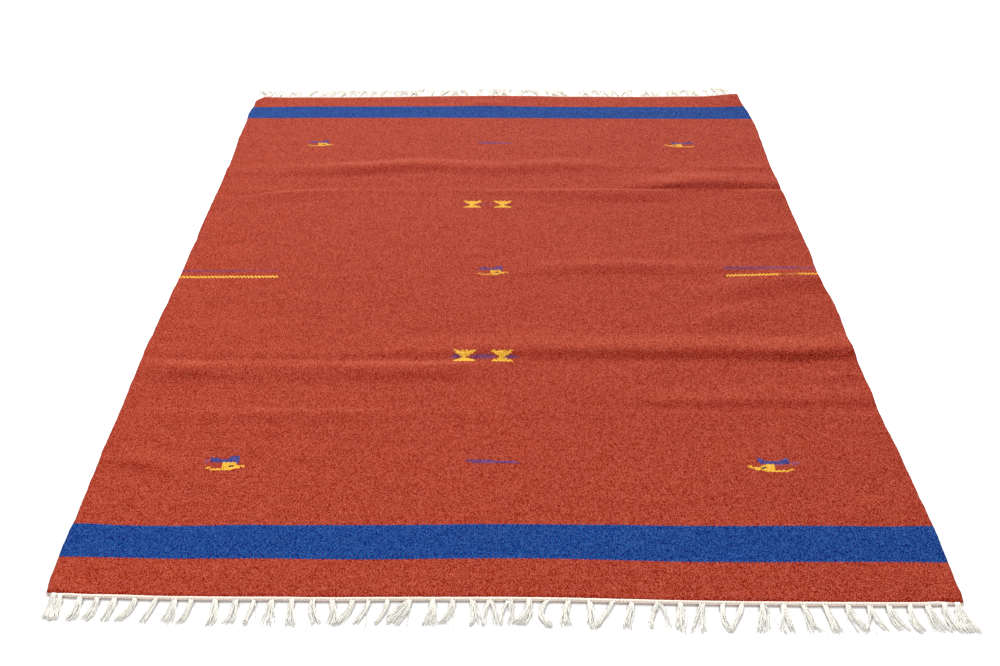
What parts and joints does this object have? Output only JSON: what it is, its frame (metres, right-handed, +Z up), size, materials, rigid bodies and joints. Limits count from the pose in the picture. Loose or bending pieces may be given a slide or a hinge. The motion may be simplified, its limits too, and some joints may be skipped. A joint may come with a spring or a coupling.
{
  "type": "kilim rug",
  "caption": "Flat-woven kilim rug lying on the floor, with a stripe near each end, small woven figures, twined headings and a tassel fringe along both ends.",
  "frame": {"origin": "on the floor, under the middle of the box that the rug fills", "axes": "+X across the rug, +Y along it from the near end in the picture to the far end, +Z up"},
  "size_m": [1.422, 2.1421, 0.0124],
  "materials": {
    "wool": "matte flat-woven wool, brick red with royal blue stripes and small golden yellow and violet figures",
    "heading_cotton": "matte cream cotton, twined",
    "fringe_cotton": "matte cream cotton yarn"
  },
  "bodies": {
    "root": {"rug_cloth": "wool", "heading_near": "heading_cotton", "heading_far": "heading_cotton", "fringe_near": "fringe_cotton", "fringe_far": "fringe_cotton"}
  },
  "joints": []
}
